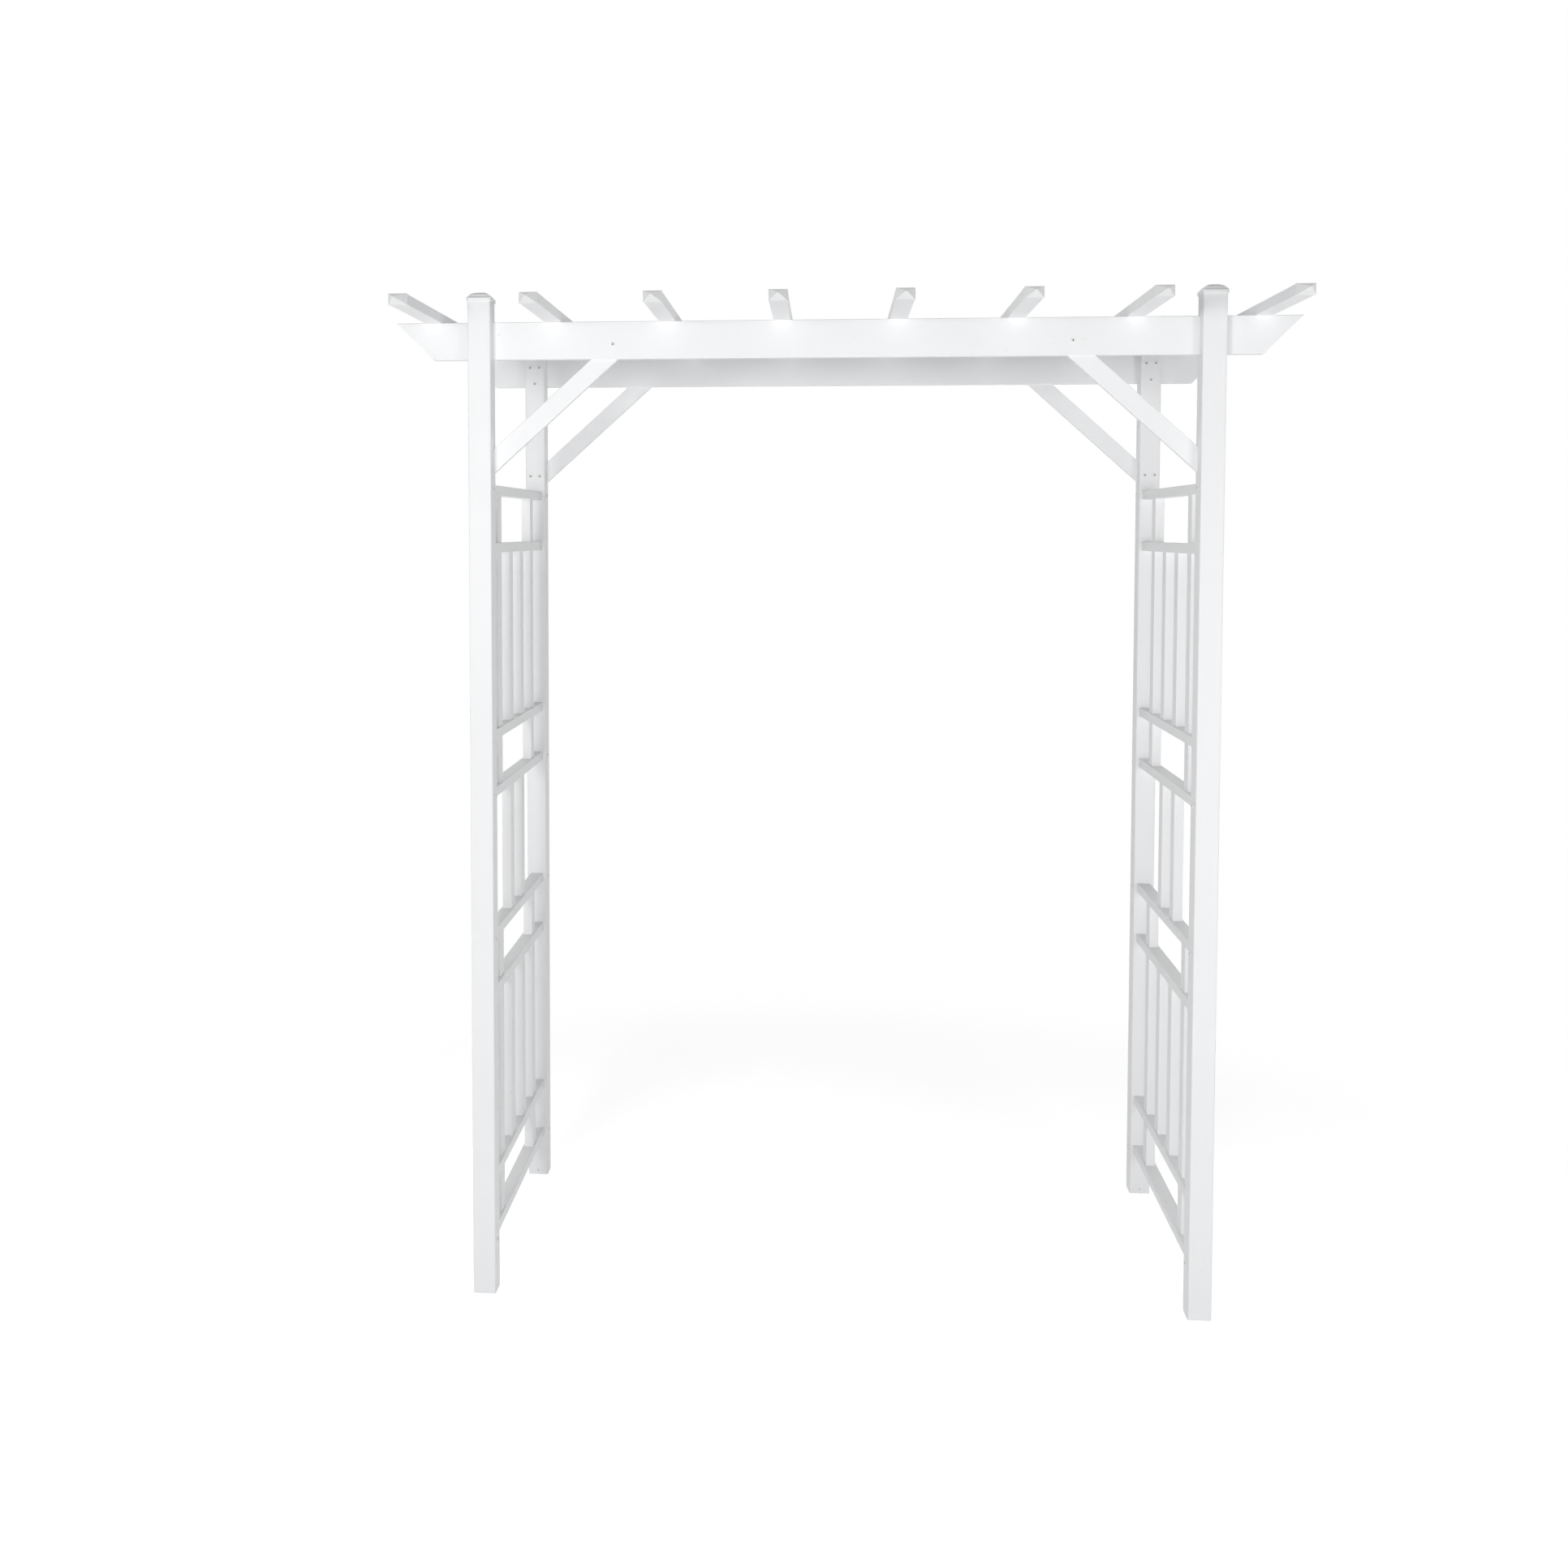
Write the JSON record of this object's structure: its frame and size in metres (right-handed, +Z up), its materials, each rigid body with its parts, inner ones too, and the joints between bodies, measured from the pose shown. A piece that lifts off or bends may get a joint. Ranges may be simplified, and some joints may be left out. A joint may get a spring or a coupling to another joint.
{
  "type": "garden arbor",
  "caption": "White vinyl garden arbor with a flat rafter roof on two braced beams, four capped posts and open side panels.",
  "frame": {"origin": "on the floor, midway between the four posts", "axes": "+X to the right across the front, +Y from the front to the back, +Z up"},
  "size_m": [1.962, 1.358, 2.2453],
  "materials": {
    "vinyl_white": "smooth extruded white vinyl, low gloss",
    "moulded_white": "smooth moulded white plastic, glossy",
    "screw_white": "white enamelled screw heads"
  },
  "bodies": {
    "root": {"post_front_left": "vinyl_white", "post_front_right": "vinyl_white", "post_back_left": "vinyl_white", "post_back_right": "vinyl_white", "cap_front_left": "moulded_white", "cap_front_right": "moulded_white", "cap_back_left": "moulded_white", "cap_back_right": "moulded_white", "beam_front": "vinyl_white", "beam_back": "vinyl_white", "brace_front_left": "vinyl_white", "brace_front_right": "vinyl_white", "brace_back_left": "vinyl_white", "brace_back_right": "vinyl_white", "rafter_1": "vinyl_white", "rafter_2": "vinyl_white", "rafter_3": "vinyl_white", "rafter_4": "vinyl_white", "rafter_5": "vinyl_white", "rafter_6": "vinyl_white", "rafter_7": "vinyl_white", "rafter_8": "vinyl_white", "rafter_tips_front": "moulded_white", "rafter_tips_back": "moulded_white", "rail_left_1": "vinyl_white", "rail_left_2": "vinyl_white", "rail_left_3": "vinyl_white", "rail_left_4": "vinyl_white", "rail_left_5": "vinyl_white", "rail_left_6": "vinyl_white", "rail_left_7": "vinyl_white", "rail_left_8": "vinyl_white", "rail_right_1": "vinyl_white", "rail_right_2": "vinyl_white", "rail_right_3": "vinyl_white", "rail_right_4": "vinyl_white", "rail_right_5": "vinyl_white", "rail_right_6": "vinyl_white", "rail_right_7": "vinyl_white", "rail_right_8": "vinyl_white", "balusters_left_outer": "vinyl_white", "balusters_left_inner": "vinyl_white", "balusters_right_outer": "vinyl_white", "balusters_right_inner": "vinyl_white"}
  },
  "joints": []
}
